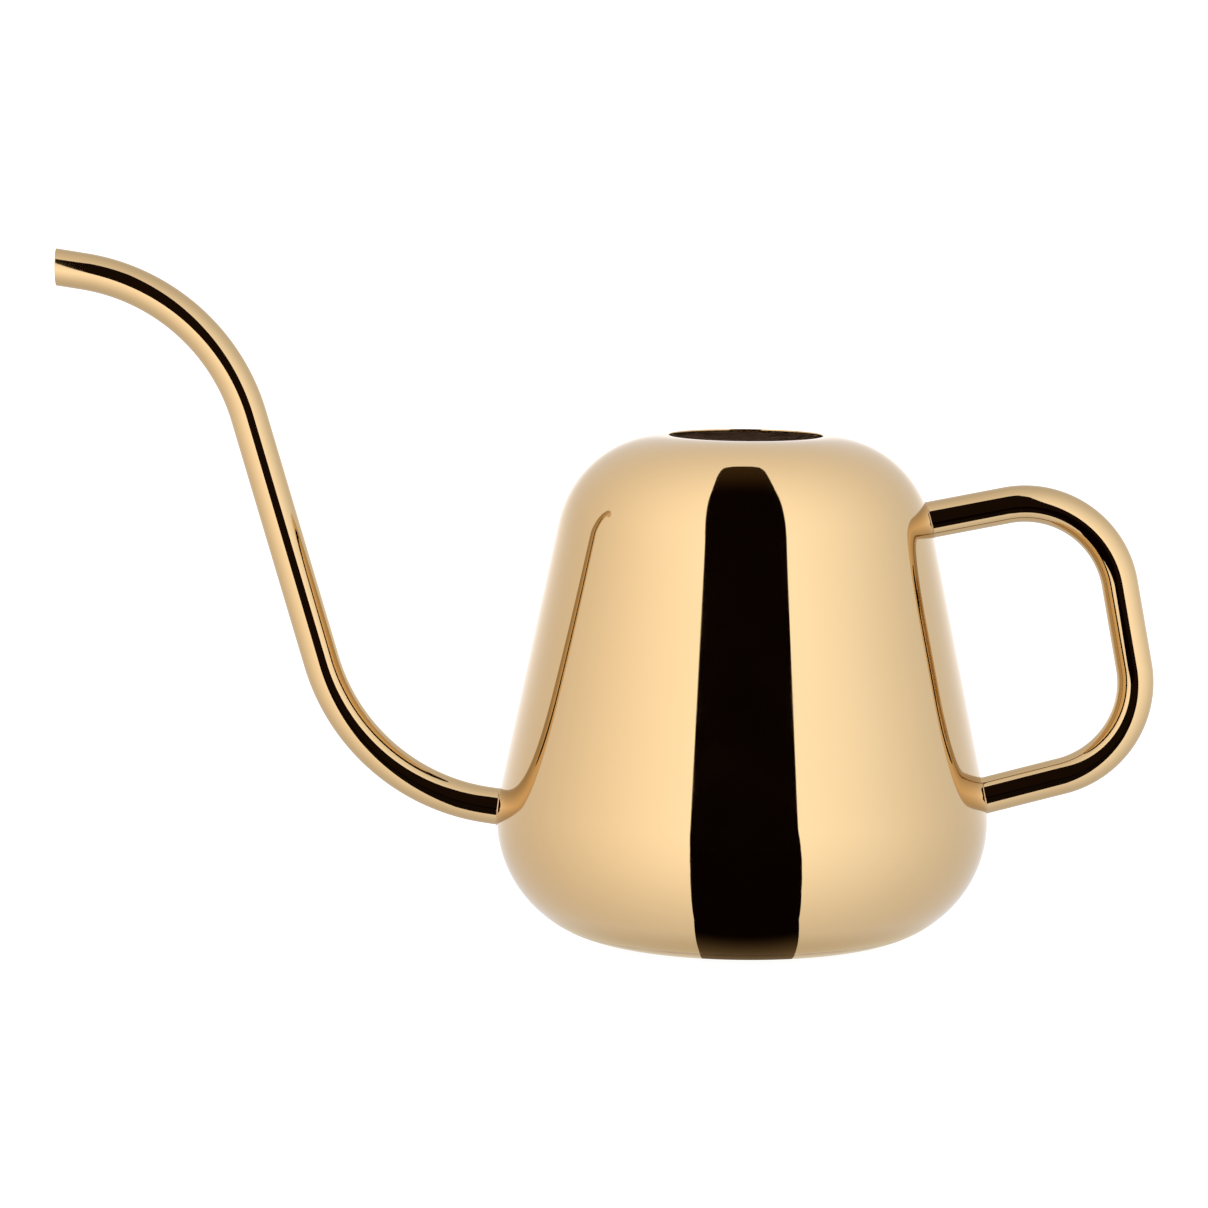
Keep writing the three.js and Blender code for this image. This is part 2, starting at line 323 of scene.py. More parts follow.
def makeMirrorGold(name, swell):
    material, tree, shader, vector = finishBase(name)
    tone = noiseField(tree, vector, mirrorGold["tonesPerMetre"], 3, -800, 300)
    colour = mixedColours(tree, tone, mirrorGold["bright"], mirrorGold["deep"], -500, 300)
    haze = noiseField(tree, vector, mirrorGold["hazePerMetre"], 5, -800, 50)
    rough = ranged(tree, haze, mirrorGold["smoothest"], mirrorGold["hazy"], -500, 50)
    wave = noiseField(tree, vector, mirrorGold["swellsPerMetre"], 1.5, -800, -200)
    tree.links.new(colour, shader.inputs["Base Color"])
    tree.links.new(rough, shader.inputs["Roughness"])
    tree.links.new(relief(tree, wave, swell, -500, -200), shader.inputs["Normal"])
    return material


satinInside = {
    "light": (0.70, 0.58, 0.47),
    "dark": (0.60, 0.48, 0.38),
    "metallic": 0.65,
    "smoothest": 0.34,
    "roughest": 0.5,
    "linesPerMetre": 1900,
    "lineDepth": 0.01 * mm,
    "cloudsPerMetre": 30,
    "shade": (0.36, 0.26, 0.19),  # painted shade: the inside's colour is darkened close to the mouth, standing for the shade under the shoulder
    "shadeFrom": 33 * mm,  # radius where the shade is full, and where it ends
    "shadeTo": 46 * mm,
    "shadeLow": 120 * mm,  # height where the shade begins, and where it is full
    "shadeHigh": 140 * mm,
}


def makeSatinInside():  # left as spun: fine lines run round the axis
    material, tree, shader, vector = finishBase("satinInside")
    shader.inputs["Metallic"].default_value = satinInside["metallic"]
    apart = addNode(tree, "ShaderNodeSeparateXYZ", -1000, 0)
    across = addNode(tree, "ShaderNodeVectorMath", -1000, -200, {1: (1, 1, 0)}, operation="MULTIPLY")
    radius = addNode(tree, "ShaderNodeVectorMath", -850, -200, operation="LENGTH")
    joined = addNode(tree, "ShaderNodeCombineXYZ", -700, 0)
    tree.links.new(vector, apart.inputs[0])
    tree.links.new(vector, across.inputs[0])
    tree.links.new(across.outputs[0], radius.inputs[0])
    tree.links.new(radius.outputs["Value"], joined.inputs["X"])
    tree.links.new(apart.outputs["Z"], joined.inputs["Z"])
    lines = noiseField(tree, joined.outputs["Vector"], satinInside["linesPerMetre"], 2, -450, 0)
    clouds = noiseField(tree, vector, satinInside["cloudsPerMetre"], 4, -450, 250)
    plain = mixedColours(tree, clouds, satinInside["light"], satinInside["dark"], -350, 250)
    # painted shade: high up and close to the mouth the colour turns darker, for the shade under the shoulder
    heights = (satinInside["shadeLow"], satinInside["shadeHigh"])
    upper = ranged(tree, apart.outputs["Z"], 0, 1, -500, 600, *heights)
    radii = (satinInside["shadeFrom"], satinInside["shadeTo"])
    close = ranged(tree, radius.outputs["Value"], 1, 0, -500, 450, *radii)
    paintedShade = addNode(tree, "ShaderNodeMath", -350, 450, operation="MULTIPLY")
    tree.links.new(upper, paintedShade.inputs[0])
    tree.links.new(close, paintedShade.inputs[1])
    colour = mixedColours(tree, paintedShade.outputs[0], satinInside["light"], satinInside["shade"], -200, 250)
    tree.links.new(plain, colour.node.inputs["A"])
    rough = ranged(tree, lines, satinInside["smoothest"], satinInside["roughest"], -200, 50)
    tree.links.new(colour, shader.inputs["Base Color"])
    tree.links.new(rough, shader.inputs["Roughness"])
    tree.links.new(relief(tree, lines, satinInside["lineDepth"], -200, -200), shader.inputs["Normal"])
    return material


underside = {
    "footWear": (0.52, 0.40, 0.25),
    "wearHeight": 0.35 * mm,
    "wornRoughness": 0.32,
    "scratchesPerMetre": 420,
    "scratchStretch": (1, 0.15, 1),
    "scratchDepth": 0.004 * mm,
    "hazier": 1.6,  # times the haze of the polished sheet
}


def makeUnderside():  # mirror gold whose foot is scuffed by what the can stands on
    material, tree, shader, vector = finishBase("undersideGold")
    apart = addNode(tree, "ShaderNodeSeparateXYZ", -1000, -300)
    tree.links.new(vector, apart.inputs[0])
    foot = ranged(tree, apart.outputs["Z"], 1, 0, -800, -300, 0, underside["wearHeight"])
    stretch = underside["scratchStretch"]
    scratches = noiseField(tree, vector, underside["scratchesPerMetre"], 3, -800, -50, stretch)
    marks = ranged(tree, scratches, 0, 1, -600, -50, 0.45, 0.62)
    worn = addNode(tree, "ShaderNodeMath", -400, -200, operation="MULTIPLY")
    tree.links.new(foot, worn.inputs[0])
    tree.links.new(marks, worn.inputs[1])
    colour = mixedColours(tree, worn.outputs[0], mirrorGold["bright"], underside["footWear"], -200, 200)
    haze = noiseField(tree, vector, mirrorGold["hazePerMetre"], 5, -800, 300)
    haziest = mirrorGold["hazy"] * underside["hazier"]
    plain = ranged(tree, haze, mirrorGold["smoothest"], haziest, -600, 300)
    rough = addNode(tree, "ShaderNodeMix", -200, 0, data_type="FLOAT")
    rough.inputs["B"].default_value = underside["wornRoughness"]
    tree.links.new(worn.outputs[0], rough.inputs["Factor"])
    tree.links.new(plain, rough.inputs["A"])
    tree.links.new(colour, shader.inputs["Base Color"])
    tree.links.new(rough.outputs["Result"], shader.inputs["Roughness"])
    tree.links.new(relief(tree, scratches, underside["scratchDepth"], -200, -300), shader.inputs["Normal"])
    return material


dressedWeld = {
    "bright": (0.60, 0.43, 0.24),
    "heated": (0.43, 0.28, 0.16),
    "smoothest": 0.10,
    "roughest": 0.26,
    "grainDepth": 0.02 * mm,
    "flushSmoothest": 0.05,  # the base seam is dressed finer
    "flushRoughest": 0.10,
    "flushDepth": 0.001 * mm,
    "heatPerMetre": 160,
    "grainsPerMetre": 900,
}


def makeDressedWeld(name, smoothest, roughest, depth):
    material, tree, shader, vector = finishBase(name)
    heat = noiseField(tree, vector, dressedWeld["heatPerMetre"], 3, -800, 250)
    heated = ranged(tree, heat, 0, 1, -600, 250)
    colour = mixedColours(tree, heated, dressedWeld["bright"], dressedWeld["heated"], -400, 250)
    grain = noiseField(tree, vector, dressedWeld["grainsPerMetre"], 3, -800, 0)
    rough = ranged(tree, grain, smoothest, roughest, -400, 0)
    tree.links.new(colour, shader.inputs["Base Color"])
    tree.links.new(rough, shader.inputs["Roughness"])
    tree.links.new(relief(tree, grain, depth, -400, -250), shader.inputs["Normal"])
    return material


sheetGold = makeMirrorGold("mirrorGoldSheet", mirrorGold["sheetSwell"])
tubeGold = makeMirrorGold("mirrorGoldTube", mirrorGold["swell"])
insideSteel = makeSatinInside()
undersideGold = makeUnderside()
weldGold = makeDressedWeld(
    "dressedWeld", dressedWeld["smoothest"], dressedWeld["roughest"], dressedWeld["grainDepth"]
)
flushWeld = makeDressedWeld(
    "flushWeld", dressedWeld["flushSmoothest"], dressedWeld["flushRoughest"], dressedWeld["flushDepth"]
)
print("finishes made")


# The body and its base.

spunSheet = spunSheetTree()
hub = 10 * mm  # the outline is swept round a circle of this radius and drawn that much nearer


def spin(name, outline, outside, inside, sides):
    piece = drawEdges(name, [(radius - hub, -height, 0) for radius, height in reversed(outline)])
    setShape(piece, spunSheet, {"Sides": sides, "Hub": hub, "Material": outside})
    piece.data.materials.clear()
    piece.data.materials.append(outside)
    piece.data.materials.append(inside)
    shiftMesh(piece, Vector((axisX, 0, 0)))
    tidyMesh(piece, False)
    return piece


def makeShell():
    rise = canBody["wallLean"]
    lower = arcPoints(lowerCentre, canBody["lowerEdgeRadius"], canBody["seamAngle"] - 90, rise)
    upper = arcPoints(shoulderCentre, canBody["shoulderRadius"], rise, 90)
    wall = pointsBetween(lower[-1], upper[0], canBody["wallRings"])
    mouth = (canBody["mouthRadius"], canBody["height"])
    shell = spin("canBody", lower + wall + upper + [mouth], sheetGold, insideSteel, canBody["sides"])
    giveWall(shell, canBody["sheet"], canBody["rimSoftness"])
    return shell


spoutHole = {"sides": 72}
sharpAngle = math.radians(35)  # an edge sharper than this stays crisp in the shading


def pierce(piece, start, end, radius):  # a round hole straight through
    cutter = bmesh.new()
    size = {"radius1": radius, "radius2": radius, "depth": (end - start).length}
    bmesh.ops.create_cone(cutter, cap_ends=True, segments=spoutHole["sides"], **size)
    turn = (end - start).to_track_quat("Z", "Y")
    for vertex in cutter.verts:
        vertex.co = turn @ vertex.co + (start + end) / 2
    mesh = bpy.data.meshes.new("holeCutter")
    cutter.to_mesh(mesh)
    cutter.free()
    tool = bpy.data.objects.new("holeCutter", mesh)
    bpy.context.scene.collection.objects.link(tool)
    hole = piece.modifiers.new("hole", "BOOLEAN")
    hole.object = tool
    hole.operation = "DIFFERENCE"
    hole.solver = "EXACT"
    makePlain(piece)
    bpy.data.objects.remove(tool)
    bpy.data.meshes.remove(mesh)
    piece.data.set_sharp_from_angle(angle=sharpAngle)


basePan = {
    "footWidth": 8 * mm,
    "stepWidth": 4 * mm,
    "panelRise": 2.5 * mm,
    "bendRadius": 1.6 * mm,
    "seamGap": 1.1 * mm,
    "edgeSoftness": 0.05 * mm,
    "innerRing": 4 * mm,
    "eye": 0.02 * mm,  # the smallest ring, drawn in to a point once the pan is spun
}


def roundedCorners(points, radius, steps=5):  # replaces the inner corners of a chain by small arcs
    soft = [points[0]]
    for before, corner, after in zip(points, points[1:], points[2:]):
        a, b, c = Vector(before), Vector(corner), Vector(after)
        cut = min(radius, (a - b).length * 0.45, (c - b).length * 0.45)
        start = b + (a - b).normalized() * cut
        finish = b + (c - b).normalized() * cut
        for i in range(steps + 1):
            t = i / steps
            soft.append(tuple(start * (1 - t) ** 2 + b * 2 * t * (1 - t) + finish * t ** 2))
    soft.append(points[-1])
    return soft


def makeBasePan():
    seamTurn = math.degrees(basePan["seamGap"] / canBody["lowerEdgeRadius"])
    edge = canBody["seamAngle"] - 90 - seamTurn
    curve = arcPoints(lowerCentre, canBody["lowerEdgeRadius"], edge, -90)
    footInner = lowerCentre.x - basePan["footWidth"]
    panelRadius = footInner - basePan["stepWidth"]
    rise = basePan["panelRise"]
    corners = [(lowerCentre.x, 0), (footInner, 0), (panelRadius, rise), (basePan["innerRing"], rise)]
    foot = roundedCorners(corners, basePan["bendRadius"])
    centre = (basePan["eye"], rise)
    outline = list(reversed(curve[:-1] + foot + [centre]))
    pan = spin("basePan", outline, undersideGold, insideSteel, canBody["sides"] // 2)
    closeMiddle(pan)
    giveWall(pan, canBody["sheet"], basePan["edgeSoftness"])
    return pan


def closeMiddle(piece):  # the smallest ring shrinks to one point on the axis
    work = bmesh.new()
    work.from_mesh(piece.data)
    middle = [v for v in work.verts if math.hypot(v.co.x - axisX, v.co.y) < 2 * basePan["eye"]]
    bmesh.ops.pointmerge(work, verts=middle, merge_co=(axisX, 0, middle[0].co.z))
    work.to_mesh(piece.data)
    work.free()


# The spout and the handle.

bentTube = bentTubeTree()
tube = {
    "radius": 6 * mm,
    "wall": 0.8 * mm,
    "sides": 96,
    "turnStep": 1.6,  # degrees between rings in a bend
    "runStep": 4 * mm,
    "endRings": (0, 0.25 * mm, 0.6 * mm, 1.2 * mm),
    "endRoom": 2.5 * mm,  # the plain rings keep this far from a shaped end
    "gap": 0.1 * mm,
}
spout = {  # heading 180 points to -X and 90 points up; a turn to the right is negative
    "start": (-73.9 * mm, 42.2 * mm),
    "heading": 180,
    "steps": (("bend", 66 * mm, -73.4), ("run", 83.5 * mm), ("bend", 66 * mm, 64.8), ("run", 12 * mm)),
    "reach": 223.3 * mm,
}
handle = {
    "start": (60.3 * mm, 137.45 * mm),
    "heading": 11.3,
    "steps": (
        ("run", 25 * mm), ("bend", 31.5 * mm, -90.6), ("run", 27.6 * mm),
        ("bend", 31.5 * mm, -85.9), ("run", 28 * mm),
    ),
}


def followSteps(route):  # stations (place, direction) along straight runs and bends, seen from the front
    x, z = route["start"]
    heading = math.radians(route["heading"])
    stations = [(Vector((x + axisX, 0, z)), heading)]
    for step in route["steps"]:
        if step[0] == "run":
            count = max(2, round(step[1] / tube["runStep"]))
            for _ in range(count):
                x += step[1] / count * math.cos(heading)
                z += step[1] / count * math.sin(heading)
                stations.append((Vector((x + axisX, 0, z)), heading))
            continue
        radius, turn = step[1], math.radians(step[2])
        side = math.copysign(1, turn)
        middleX = x - side * radius * math.sin(heading)
        middleZ = z + side * radius * math.cos(heading)
        count = math.ceil(abs(step[2]) / tube["turnStep"])
        for _ in range(count):
            heading += turn / count
            x = middleX + side * radius * math.sin(heading)
            z = middleZ - side * radius * math.cos(heading)
            stations.append((Vector((x + axisX, 0, z)), heading))
    return stations


def wayOf(heading):
    return Vector((math.cos(heading), 0, math.sin(heading)))


def trimAtWall(stations):  # starts the centreline where it leaves the wall, with close rings first
    firstOut = next(i for i, (place, _) in enumerate(stations) if wallDistance(place) > tube["endRoom"])
    place, heading = stations[firstOut]
    root = slideUntil(place, wayOf(heading), wallDistance, 0)
    close = [(root + wayOf(heading) * step, heading) for step in tube["endRings"]]
    return close + stations[firstOut:]


def drawTube(name, stations):
    piece = drawEdges(name, [place for place, _ in stations])
    values = {"Sides": tube["sides"], "Radius": tube["radius"], "Material": tubeGold}
    setShape(piece, bentTube, values)
    piece.data.materials.clear()
    piece.data.materials.append(tubeGold)
    piece.data.materials.append(insideSteel)
    return piece


def fitRings(piece, first, direction, distanceAt, offsets):  # shapes a tube's end to what it meets
    for ring, offset in zip(first, offsets):
        for vertex in piece.data.vertices[ring * tube["sides"]:(ring + 1) * tube["sides"]]:
            vertex.co = slideUntil(vertex.co.copy(), direction, distanceAt, offset)


def makeSpout():
    stations = trimAtWall(followSteps(spout))
    tipX = axisX - spout["reach"]
    last = next(i for i, (place, _) in enumerate(stations) if place.x < tipX + tube["endRoom"])
    place, heading = stations[last]
    ends = [slideUntil(place, wayOf(heading), lambda p: tipX - p.x, -step) for step in tube["endRings"]]
    stations = stations[:last] + [(place, heading) for place in reversed(ends)]
    piece = drawTube("spout", stations)
    outward = wayOf(stations[0][1])
    offsets = [tube["gap"] + step for step in tube["endRings"]]
    fitRings(piece, range(len(offsets)), outward, wallDistance, offsets)
    rings = range(len(stations) - 1, len(stations) - 1 - len(offsets), -1)
    fitRings(piece, rings, wayOf(heading), lambda p: tipX - p.x, [-step for step in tube["endRings"]])
    giveWall(piece, tube["wall"], canBody["rimSoftness"])
    return piece, stations[0]


def makeHandle():
    stations = trimAtWall(followSteps(handle))
    back = trimAtWall([(place, heading + math.pi) for place, heading in reversed(stations)])
    stations = [(place, heading - math.pi) for place, heading in reversed(back)]
    piece = drawTube("handle", stations)
    offsets = [tube["gap"] + step for step in tube["endRings"]]
    top, bottom = stations[0], back[0]
    fitRings(piece, range(len(offsets)), wayOf(top[1]), wallDistance, offsets)
    rings = range(len(stations) - 1, len(stations) - 1 - len(offsets), -1)
    fitRings(piece, rings, wayOf(bottom[1]), wallDistance, offsets)
    giveWall(piece, tube["wall"], canBody["rimSoftness"])
    return piece, top, bottom


# The welds.

weldBead = weldBeadTree()
bead = {
    "radius": 0.34 * mm,
    "sides": 12,
    "points": 240,
    "ripple": 0.2,
    "ripplesPerMetre": 900,
    "sink": -0.08 * mm,  # how far the bead's middle stands off the wall and the tube
    "proud": 0.006 * mm,  # the base seam: how far it stands out, and how far it laps both sheets
    "lap": 0.45 * mm,
    "seeds": (3, 7, 11),
}


def weldRound(name, root, seed):  # a bead in the corner between a tube and the wall
    place, heading = root
    outward = wayOf(heading)
    sideways = Vector((0, 1, 0))
    across = outward.cross(sideways)
    seam = []
    for i in range(bead["points"]):
        angle = 2 * math.pi * i / bead["points"]
        radial = across * math.cos(angle) + sideways * math.sin(angle)
        start = place + radial * (tube["radius"] + bead["sink"])
        seam.append(slideUntil(start, outward, wallDistance, bead["sink"]))
    return layBead(name, seam, bead["radius"], seed)


def weldUnder():  # the seam between the shell's lower edge and the pan, dressed flush with both
    gapTurn = math.degrees(basePan["seamGap"] / canBody["lowerEdgeRadius"])
    lapTurn = math.degrees(bead["lap"] / canBody["lowerEdgeRadius"])
    edge = canBody["seamAngle"] - 90
    outerRadius = canBody["lowerEdgeRadius"] + bead["proud"]
    innerRadius = canBody["lowerEdgeRadius"] - canBody["sheet"] - bead["lap"]
    outer = arcPoints(lowerCentre, outerRadius, edge - gapTurn - lapTurn, edge + lapTurn)
    inner = arcPoints(lowerCentre, innerRadius, edge, edge - gapTurn)
    outline = outer + inner + [outer[0]]
    band = spin("baseWeld", outline, flushWeld, flushWeld, canBody["sides"] // 2)
    band.data.set_sharp_from_angle(angle=sharpAngle)
    return band


def layBead(name, seam, radius, seed):
    piece = drawEdges(name, seam, True)
    values = {
        "Sides": bead["sides"], "Radius": radius, "Ripple": bead["ripple"],
        "Ripples Per Metre": float(bead["ripplesPerMetre"]), "Seed": float(seed), "Material": weldGold,
    }
    setShape(piece, weldBead, values)
    tidyMesh(piece)
    return piece


def addPiece(piece, node):
    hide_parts(node)
    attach(piece, "root")


shell = makeShell()
pan = makeBasePan()
print("body and base made")
spoutTube, spoutRoot = makeSpout()
handleTube, handleTop, handleBottom = makeHandle()
print("spout and handle made")
holeWay = wayOf(spoutRoot[1]) * tube["radius"]
pierce(shell, spoutRoot[0] - holeWay, spoutRoot[0] + holeWay, tube["radius"] - tube["wall"])
print("spout hole cut")

addPiece(shell, "body_shell")
addPiece(pan, "base_pan")
addPiece(spoutTube, "spout_tube")
addPiece(handleTube, "handle_tube")
welds = [
    weldRound("spoutWeld", spoutRoot, bead["seeds"][0]),
    weldRound("handleTopWeld", handleTop, bead["seeds"][1]),
    weldRound("handleBottomWeld", handleBottom, bead["seeds"][2]),
    weldUnder(),
]
for weld, node in zip(welds, ("spout_weld", "handle_top_weld", "handle_bottom_weld", "base_weld")):
    addPiece(weld, node)
print("welds laid")


# The studio, most of which is seen only as reflections in the metal.

studio = {
    "whiteness": 4.0,
    "clothRadius": 3.0,
    "centreHeight": 0.09,
    "plain": 1.217,  # brightness of the cloth, and what is added towards the lens, upwards and so on
    "towardsLens": 0.445,
    "upwards": 0.169,
    "lensSquared": 0.104,
    "upSquared": 0.035,
    "lensAndUp": 0.081,
    "backGlow": 0.553,
    "backGlowReach": 0.12,
    "backGlowHeight": 0.18,
    "leftTint": (1.02, 0.985, 0.965),
    "rightTint": (0.985, 1.0, 1.04),
    "tintReach": 0.9,
}
# The dark gap through which the lens looks in. Each row is a distance along its part, then where the part
# begins and ends from left to right, all in metres from the foot of the body's axis.
gap = {
    "front": -0.60,
    "top": 1.50,
    "floor": 0.6 * mm,
    "frontRows": [
        (0, -0.262, 0.271), (0.10, -0.265, 0.266), (0.20, -0.269, 0.261), (0.31, -0.277, 0.258),
        (0.46, -0.296, 0.271), (0.72, -0.336, 0.301), (1.50, -0.468, 0.401),
    ],
    "overheadRows": [
        (-0.60, -0.468, 0.401), (-0.41, -0.389, 0.324), (-0.17, -0.306, 0.248), (0.01, -0.255, 0.201),
        (0.21, -0.193, 0.154), (0.28, -0.169, 0.127), (0.315, -0.142, 0.111), (0.345, -0.080, 0.055),
    ],
    "floorRows": [
        (-0.60, -0.262, 0.271), (-0.15, -0.053, 0.055), (-0.102, -0.032, 0.033), (-0.075, -0.021, 0.022),
        (-0.055, -0.015, 0.017), (-0.040, -0.012, 0.014),
    ],
    "overheadFade": (-0.60, 0.40),  # from front to back
    "footFade": (-0.068, -0.047),
    "dark": (0.0035, 0.0012, 0.0004),
    "darkOverhead": (0.053, 0.033, 0.014),
    "darkByTheFoot": (0.170, 0.126, 0.072),
}
# painted shade: the glow of a disc that stands for the floor's shade round the foot, seen only in reflections
footShade = {"inner": 56 * mm, "outer": 70 * mm, "sides": 64, "glow": (0.78, 0.72, 0.59)}
tubeTent = {  # the box of cloth that only the tubes see, with its own window
    "low": (-1.3, -0.58, -1.2),
    "high": (1.3, 1.3, 1.35),
    "window": [
        (-0.275, -0.71), (-0.305, -0.24), (-0.272, -0.09), (-0.264, 0.11), (-0.248, 0.30), (-0.223, 0.60),
        (-0.197, 0.90), (-0.140, 1.05), (0.075, 1.04), (0.172, 0.66), (0.192, 0.26), (0.227, 0.06),
        (0.262, -0.04), (0.325, -0.19), (0.325, -0.39), (0.255, -0.71),
    ],
    "room": (0.010, 0.0065, 0.0045),
    "dimAbove": 0.35,
    "dimBelow": 0.20,
}


def onlyInReflections(thing, seenBy=None):
    thing.visible_camera = False
    thing.visible_diffuse = False
    thing.visible_transmission = False
    thing.visible_volume_scatter = False
    thing.visible_shadow = False
    if seenBy:
        receivers = bpy.data.collections.new(thing.name + "Receivers")
        for piece in seenBy:
            receivers.objects.link(piece)
        thing.light_linking.receiver_collection = receivers


def glowMaterial(name, colour, seeThrough):
    material = bpy.data.materials.new(name)
    material.use_nodes = True
    tree = material.node_tree
    tree.nodes.remove(tree.nodes["Principled BSDF"])
    glow = addNode(tree, "ShaderNodeEmission", 0, 0, {"Color": (*colour, 1), "Strength": 1.0})
    last = glow.outputs[0]
    if seeThrough:
        clear = addNode(tree, "ShaderNodeBsdfTransparent", 0, -150)
        both = addNode(tree, "ShaderNodeAddShader", 200, 0)
        tree.links.new(last, both.inputs[0])
        tree.links.new(clear.outputs[0], both.inputs[1])
        last = both.outputs[0]
    tree.links.new(last, tree.nodes["Material Output"].inputs["Surface"])
    return material, tree, glow


def addMath(tree, operation, first, second, x, y):
    node = addNode(tree, "ShaderNodeMath", x, y, operation=operation)
    for slot, value in enumerate((first, second)):
        if value is None:
            continue
        if isinstance(value, (int, float)):
            node.inputs[slot].default_value = value
        else:
            tree.links.new(value, node.inputs[slot])
    return node.outputs[0]


def clothMaterial(name, seeThrough, dimAbove=0.0, dimBelow=0.0):  # brightest beside the lens
    material, tree, glow = glowMaterial(name, (1, 1, 1), seeThrough)
    place = addNode(tree, "ShaderNodeTexCoord", -1600, 0)
    way = addNode(tree, "ShaderNodeVectorMath", -1400, 0, operation="NORMALIZE")
    apart = addNode(tree, "ShaderNodeSeparateXYZ", -1200, 0)
    tree.links.new(place.outputs["Object"], way.inputs[0])
    tree.links.new(way.outputs[0], apart.inputs[0])
    front = addMath(tree, "MULTIPLY", apart.outputs["Y"], -1, -1000, 200)
    up = apart.outputs["Z"]
    terms = [
        (front, None, studio["towardsLens"]), (up, None, studio["upwards"]),
        (front, front, studio["lensSquared"]), (up, up, studio["upSquared"]),
        (front, up, studio["lensAndUp"]),
    ]
    total = studio["plain"]
    for i, (first, second, weight) in enumerate(terms):
        row = 300 - i * 150
        product = first if second is None else addMath(tree, "MULTIPLY", first, second, -800, row)
        scaled = addMath(tree, "MULTIPLY", product, weight, -600, row)
        total = addMath(tree, "ADD", scaled, total, -400, row)
    turned = addMath(tree, "ADD", front, 1, -1000, -500)
    behind = addMath(tree, "DIVIDE", turned, studio["backGlowReach"], -800, -500)
    level = addMath(tree, "DIVIDE", up, studio["backGlowHeight"], -800, -650)
    squared = addMath(tree, "MULTIPLY", level, level, -600, -650)
    away = addMath(tree, "MULTIPLY", addMath(tree, "ADD", behind, squared, -400, -550), -1, -300, -550)
    nearness = addMath(tree, "EXPONENT", away, None, -200, -550)
    backGlow = addMath(tree, "MULTIPLY", nearness, studio["backGlow"], -100, -550)
    total = addMath(tree, "ADD", total, backGlow, -100, 0)
    higher = addMath(tree, "MAXIMUM", up, 0, -500, -800)
    above = addMath(tree, "MULTIPLY", higher, dimAbove, -300, -800)
    lower = addMath(tree, "MINIMUM", up, 0, -500, -950)
    below = addMath(tree, "MULTIPLY", lower, dimBelow, -300, -950)
    dimming = addMath(tree, "SUBTRACT", addMath(tree, "ADD", below, 1, -100, -900), above, 0, -850)
    tree.links.new(addMath(tree, "MULTIPLY", total, dimming, 0, -300), glow.inputs["Strength"])
    side = ranged(tree, apart.outputs["X"], 0, 1, -300, 300, -studio["tintReach"], studio["tintReach"])
    tint = mixedColours(tree, side, studio["leftTint"], studio["rightTint"], -150, 300)
    tree.links.new(tint, glow.inputs["Color"])
    return material


def makeCloth(seenBy):
    bpy.ops.mesh.primitive_uv_sphere_add(segments=96, ring_count=48, radius=studio["clothRadius"])
    cloth = bpy.context.object
    cloth.name = "lightTent"
    cloth.location = (axisX, 0, studio["centreHeight"])
    for face in cloth.data.polygons:
        face.use_smooth = True
    cloth.data.materials.append(clothMaterial("tentCloth", False))
    onlyInReflections(cloth, seenBy)


def panel(name, corners, material, seenBy=None):
    mesh = bpy.data.meshes.new(name)
    mesh.from_pydata(corners, [], [tuple(range(len(corners)))])
    piece = bpy.data.objects.new(name, mesh)
    bpy.context.scene.collection.objects.link(piece)
    piece.location = (axisX, 0, 0)
    mesh.materials.append(material)
    onlyInReflections(piece, seenBy)


def gapOutline(rows):  # up one side and down the other
    return [(left, along) for along, left, _ in rows] + [(right, along) for along, _, right in reversed(rows)]


def fadingDark(name, nearColour, start, end):  # dark, and brownish where it runs out over the can
    material, tree, glow = glowMaterial(name, gap["dark"], False)
    place = addNode(tree, "ShaderNodeTexCoord", -800, 0)
    apart = addNode(tree, "ShaderNodeSeparateXYZ", -600, 0)
    tree.links.new(place.outputs["Object"], apart.inputs[0])
    fade = {"From Min": start, "From Max": end}
    near = addNode(tree, "ShaderNodeMapRange", -400, 0, fade, interpolation_type="SMOOTHSTEP")
    tree.links.new(apart.outputs["Y"], near.inputs["Value"])
    colour = mixedColours(tree, near.outputs["Result"], gap["dark"], nearColour, -200, 0)
    tree.links.new(colour, glow.inputs["Color"])
    return material


def makeGap():  # the dark opening in front, overhead and on the floor
    darkFront = glowMaterial("darkFront", gap["dark"], False)[0]
    darkTop = fadingDark("darkOverhead", gap["darkOverhead"], *gap["overheadFade"])
    darkFloor = fadingDark("darkFloor", gap["darkByTheFoot"], *gap["footFade"])
    panel("gapInFront", [(x, gap["front"], z) for x, z in gapOutline(gap["frontRows"])], darkFront)
    panel("gapOverhead", [(x, y, gap["top"]) for x, y in gapOutline(gap["overheadRows"])], darkTop)
    panel("gapOnFloor", [(x, y, gap["floor"]) for x, y in gapOutline(gap["floorRows"])], darkFloor)


